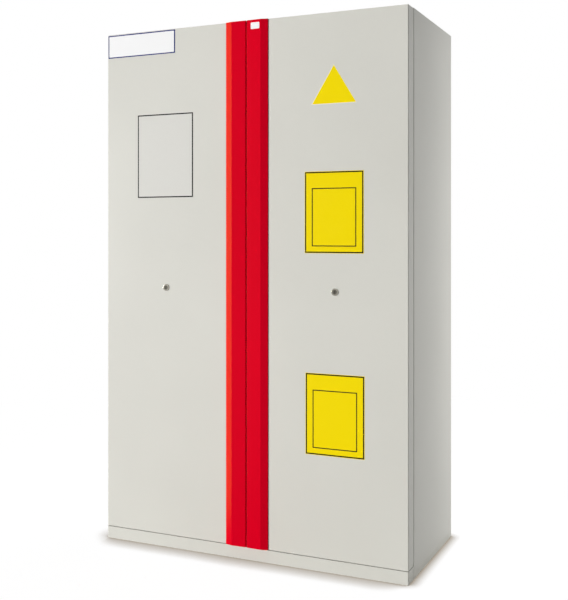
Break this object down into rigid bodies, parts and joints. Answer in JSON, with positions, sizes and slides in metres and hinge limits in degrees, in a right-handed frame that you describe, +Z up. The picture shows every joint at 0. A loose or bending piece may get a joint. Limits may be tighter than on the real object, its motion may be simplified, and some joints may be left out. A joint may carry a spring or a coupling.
{
  "type": "flammable safety cabinet",
  "caption": "Tall fire-resistant storage cabinet with full-height insulated double doors, red edge handles, key-driven bolt rods, shelves, spill trays and roof extract spigots.",
  "frame": {"origin": "on the floor under the middle of the cabinet's box", "axes": "+X to the right seen from the front, -Y out of the doors, +Z up"},
  "size_m": [1.2, 0.6, 1.995],
  "materials": {
    "cabinet_paint": "light grey powder coat, fine orange peel, satin",
    "handle_paint": "red powder coat, satin",
    "lining_board": "mineral insulating board with a pale melamine face",
    "lock_chrome": "satin chrome plate, dulled by use",
    "zinc_steel": "zinc plated steel",
    "shelf_paint": "light grey powder coat",
    "tray_plastic": "grey moulded polypropylene",
    "seal_rubber": "black foam gasket"
  },
  "bodies": {
    "root": {"acid_tray_lower": "tray_plastic", "acid_tray_upper": "tray_plastic", "back_board": "lining_board", "back_skin": "cabinet_paint", "base_frame": "zinc_steel", "base_tray_lower": "tray_plastic", "base_tray_upper": "tray_plastic", "compartment_divider": "lining_board", "exhaust_spigot_left": "zinc_steel", "exhaust_spigot_right": "zinc_steel", "floor_board": "lining_board", "floor_pan": "cabinet_paint", "hinge_leaf_body_left": "cabinet_paint", "hinge_leaf_body_right": "cabinet_paint", "hinge_pin_left": "zinc_steel", "hinge_pin_right": "zinc_steel", "partition_nosing": "cabinet_paint", "partition_wall": "lining_board", "plinth_front": "cabinet_paint", "rod_keepers": "zinc_steel", "roof_board": "lining_board", "roof_skin": "cabinet_paint", "shelf_clips": "zinc_steel", "shelf_lower": "shelf_paint", "shelf_rails": "zinc_steel", "shelf_upper": "shelf_paint", "side_board_left": "lining_board", "side_board_right": "lining_board", "side_skin_left": "cabinet_paint", "side_skin_right": "cabinet_paint", "sump_insert": "shelf_paint", "sump_tray": "shelf_paint"},
    "door_left": {"door_skin_left": "cabinet_paint", "door_core_left": "lining_board", "door_inner_panel_left": "cabinet_paint", "door_seal_left": "seal_rubber", "handle_left": "handle_paint", "hinge_leaf_door_left": "cabinet_paint", "lock_bush_left": "lock_chrome", "rod_guides_left": "zinc_steel"},
    "key_left": {"key_plug_left": "lock_chrome"},
    "rod_upper_left": {"lock_rod_upper_left": "zinc_steel"},
    "rod_lower_left": {"lock_rod_lower_left": "zinc_steel"},
    "damper_left": {"damper_flap_left": "zinc_steel"},
    "door_right": {"door_skin_right": "cabinet_paint", "door_core_right": "lining_board", "door_inner_panel_right": "cabinet_paint", "door_seal_right": "seal_rubber", "handle_right": "handle_paint", "hinge_leaf_door_right": "cabinet_paint", "lock_bush_right": "lock_chrome", "rod_guides_right": "zinc_steel"},
    "key_right": {"key_plug_right": "lock_chrome"},
    "rod_upper_right": {"lock_rod_upper_right": "zinc_steel"},
    "rod_lower_right": {"lock_rod_lower_right": "zinc_steel"},
    "damper_right": {"damper_flap_right": "zinc_steel"},
    "foot_front_left": {"foot_front_left": "zinc_steel"},
    "foot_front_right": {"foot_front_right": "zinc_steel"},
    "foot_rear_left": {"foot_rear_left": "zinc_steel"},
    "foot_rear_right": {"foot_rear_right": "zinc_steel"}
  },
  "joints": [
    {"name": "door_left_hinge", "type": "hinge", "parent": "root", "child": "door_left", "pos_m": [-0.5965, -0.228, 0.998], "axis": [0, 0, -1], "range_deg": [0, 110]},
    {"name": "key_left_turn", "type": "hinge", "parent": "door_left", "child": "key_left", "pos_m": [-0.338, -0.193, 0.976], "axis": [0, 1, 0], "range_deg": [0, 90]},
    {"name": "rod_upper_left_slide", "type": "slide", "parent": "door_left", "child": "rod_upper_left", "axis": [0, 0, 1], "range_m": [0, 0.0157]},
    {"name": "rod_lower_left_slide", "type": "slide", "parent": "door_left", "child": "rod_lower_left", "axis": [0, 0, -1], "range_m": [0, 0.0157]},
    {"name": "damper_left_turn", "type": "hinge", "parent": "root", "child": "damper_left", "pos_m": [-0.3, 0.154, 1.9455], "axis": [1, 0, 0], "range_deg": [0, 90]},
    {"name": "door_right_hinge", "type": "hinge", "parent": "root", "child": "door_right", "pos_m": [0.5965, -0.228, 0.998], "axis": [0, 0, 1], "range_deg": [0, 110]},
    {"name": "key_right_turn", "type": "hinge", "parent": "door_right", "child": "key_right", "pos_m": [0.338, -0.193, 0.976], "axis": [0, -1, 0], "range_deg": [0, 90]},
    {"name": "rod_upper_right_slide", "type": "slide", "parent": "door_right", "child": "rod_upper_right", "axis": [0, 0, 1], "range_m": [0, 0.0157]},
    {"name": "rod_lower_right_slide", "type": "slide", "parent": "door_right", "child": "rod_lower_right", "axis": [0, 0, -1], "range_m": [0, 0.0157]},
    {"name": "damper_right_turn", "type": "hinge", "parent": "root", "child": "damper_right", "pos_m": [0.3, 0.154, 1.9455], "axis": [1, 0, 0], "range_deg": [0, 90]},
    {"name": "foot_front_left_screw", "type": "slide", "parent": "root", "child": "foot_front_left", "axis": [0, 0, -1], "range_m": [0, 0.015]},
    {"name": "foot_front_right_screw", "type": "slide", "parent": "root", "child": "foot_front_right", "axis": [0, 0, -1], "range_m": [0, 0.015]},
    {"name": "foot_rear_left_screw", "type": "slide", "parent": "root", "child": "foot_rear_left", "axis": [0, 0, -1], "range_m": [0, 0.015]},
    {"name": "foot_rear_right_screw", "type": "slide", "parent": "root", "child": "foot_rear_right", "axis": [0, 0, -1], "range_m": [0, 0.015]}
  ],
  "couplings": [
    {"joint": "rod_lower_left_slide", "follows": "rod_upper_left_slide", "ratio": 1},
    {"joint": "key_left_turn", "follows": "rod_upper_left_slide", "rad_per_m": 100},
    {"joint": "rod_lower_right_slide", "follows": "rod_upper_right_slide", "ratio": 1},
    {"joint": "key_right_turn", "follows": "rod_upper_right_slide", "rad_per_m": 100}
  ]
}
